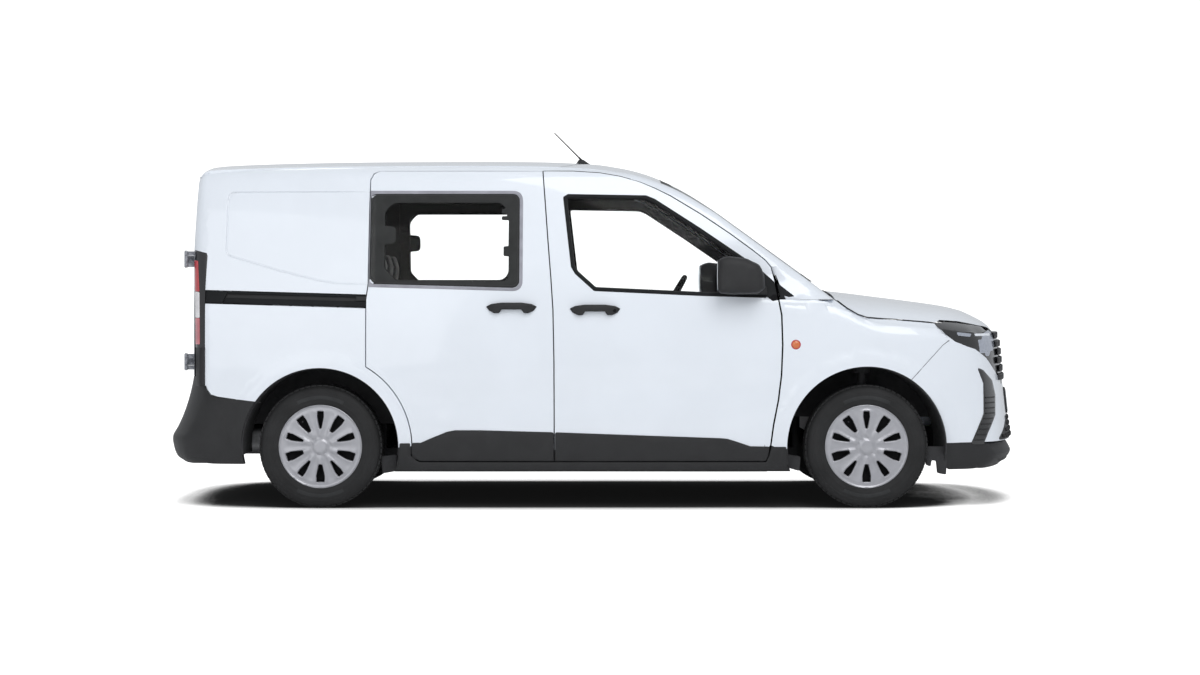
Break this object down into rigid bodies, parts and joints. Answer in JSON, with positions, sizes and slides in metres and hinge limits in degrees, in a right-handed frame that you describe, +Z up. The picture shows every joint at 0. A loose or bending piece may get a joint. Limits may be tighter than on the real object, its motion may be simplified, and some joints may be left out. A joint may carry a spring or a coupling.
{
  "type": "compact passenger van",
  "caption": "Compact passenger van with hinged front doors, sliding side doors, paired rear doors, a bonnet and steered front wheels.",
  "frame": {"origin": "on the ground, at the middle of the vehicle's length and width", "axes": "+X forward, +Y to the vehicle's left, +Z up"},
  "size_m": [4.3465, 2.05, 1.9127],
  "materials": {
    "paint": "gloss white",
    "dark_plastic": "fine-grained",
    "gloss_black": "gloss",
    "window_glass": "clear",
    "lamp_glass": "clear lens",
    "tail_lens": "red and clear lens",
    "interior_plastic": "soft grained",
    "seat_fabric": "woven",
    "tyre_rubber": "matt",
    "wheel_silver": "silver painted",
    "bare_metal": "dull",
    "chassis_black": "matt black"
  },
  "bodies": {
    "body": {"body_side_left": "paint", "body_side_right": "paint", "roof": "paint", "front_wing_left": "paint", "front_wing_right": "paint", "front_bumper": "paint", "sliding_door_left": "paint", "sliding_door_right": "paint", "floor_pan": "paint", "firewall": "paint", "front_spoiler": "dark_plastic", "rear_bumper": "dark_plastic", "cowl_panel": "dark_plastic", "door_tracks": "dark_plastic", "sliding_door_handles": "dark_plastic", "wheel_arch_liners": "dark_plastic", "roof_antenna": "dark_plastic", "grille": "gloss_black", "windscreen": "window_glass", "sliding_door_glass": "window_glass", "headlamp_left": "lamp_glass", "headlamp_right": "lamp_glass", "tail_lamp_left": "tail_lens", "tail_lamp_right": "tail_lens", "dashboard": "interior_plastic", "front_seats": "seat_fabric", "rear_bench": "seat_fabric", "engine_block": "bare_metal", "exhaust": "bare_metal", "front_subframe": "chassis_black", "rear_axle": "chassis_black", "fuel_tank": "chassis_black"},
    "front_door_left": {"front_door_left": "paint", "front_door_glass_left": "window_glass", "front_door_handle_left": "dark_plastic", "mirror_left": "dark_plastic"},
    "rear_door_left": {"rear_door_left": "paint", "rear_door_glass_left": "window_glass"},
    "knuckle_left": {"knuckle_left": "bare_metal"},
    "wheel_front_left": {"wheel_front_left": "wheel_silver", "tyre_front_left": "tyre_rubber"},
    "wheel_rear_left": {"wheel_rear_left": "wheel_silver", "tyre_rear_left": "tyre_rubber"},
    "front_door_right": {"front_door_right": "paint", "front_door_glass_right": "window_glass", "front_door_handle_right": "dark_plastic", "mirror_right": "dark_plastic"},
    "rear_door_right": {"rear_door_right": "paint", "rear_door_glass_right": "window_glass"},
    "knuckle_right": {"knuckle_right": "bare_metal"},
    "wheel_front_right": {"wheel_front_right": "wheel_silver", "tyre_front_right": "tyre_rubber"},
    "wheel_rear_right": {"wheel_rear_right": "wheel_silver", "tyre_rear_right": "tyre_rubber"},
    "bonnet": {"bonnet": "paint"},
    "steering_wheel": {"steering_wheel": "interior_plastic"}
  },
  "joints": [
    {"name": "front_door_left_hinge", "type": "hinge", "parent": "body", "child": "front_door_left", "pos_m": [0.861, 0.888, 0.6], "axis": [0, 0, -1], "range_deg": [0, 68]},
    {"name": "rear_door_left_hinge", "type": "hinge", "parent": "body", "child": "rear_door_left", "pos_m": [-2.034, 0.752, 1], "axis": [0, 0, -1], "range_deg": [0, 180]},
    {"name": "front_door_right_hinge", "type": "hinge", "parent": "body", "child": "front_door_right", "pos_m": [0.861, -0.888, 0.6], "axis": [0, 0, 1], "range_deg": [0, 68]},
    {"name": "rear_door_right_hinge", "type": "hinge", "parent": "body", "child": "rear_door_right", "pos_m": [-2.034, -0.752, 1], "axis": [0, 0, 1], "range_deg": [0, 180]},
    {"name": "bonnet_hinge", "type": "hinge", "parent": "body", "child": "bonnet", "pos_m": [1.19, 0, 1.08], "axis": [0, -1, 0], "range_deg": [0, 50]},
    {"name": "steer_left", "type": "hinge", "parent": "body", "child": "knuckle_left", "pos_m": [1.3385, 0.645, 0.303], "axis": [0, 0, 1], "range_deg": [-35, 35]},
    {"name": "steer_right", "type": "hinge", "parent": "body", "child": "knuckle_right", "pos_m": [1.3385, -0.645, 0.303], "axis": [0, 0, 1], "range_deg": [-35, 35]},
    {"name": "steering_wheel_turn", "type": "hinge", "parent": "body", "child": "steering_wheel", "pos_m": [0.405, 0.37, 1.001], "axis": [-0.866, 0, 0.5], "range_deg": [-525, 525]},
    {"name": "wheel_front_left_spin", "type": "hinge", "parent": "knuckle_left", "child": "wheel_front_left", "pos_m": [1.3385, 0.776, 0.303], "axis": [0, 1, 0], "continuous": true},
    {"name": "wheel_rear_left_spin", "type": "hinge", "parent": "body", "child": "wheel_rear_left", "pos_m": [-1.3535, 0.776, 0.303], "axis": [0, 1, 0], "continuous": true},
    {"name": "wheel_front_right_spin", "type": "hinge", "parent": "knuckle_right", "child": "wheel_front_right", "pos_m": [1.3385, -0.776, 0.303], "axis": [0, 1, 0], "continuous": true},
    {"name": "wheel_rear_right_spin", "type": "hinge", "parent": "body", "child": "wheel_rear_right", "pos_m": [-1.3535, -0.776, 0.303], "axis": [0, 1, 0], "continuous": true}
  ],
  "couplings": [
    {"joint": "steer_right", "follows": "steer_left", "ratio": 1},
    {"joint": "steering_wheel_turn", "follows": "steer_left", "ratio": 15}
  ]
}
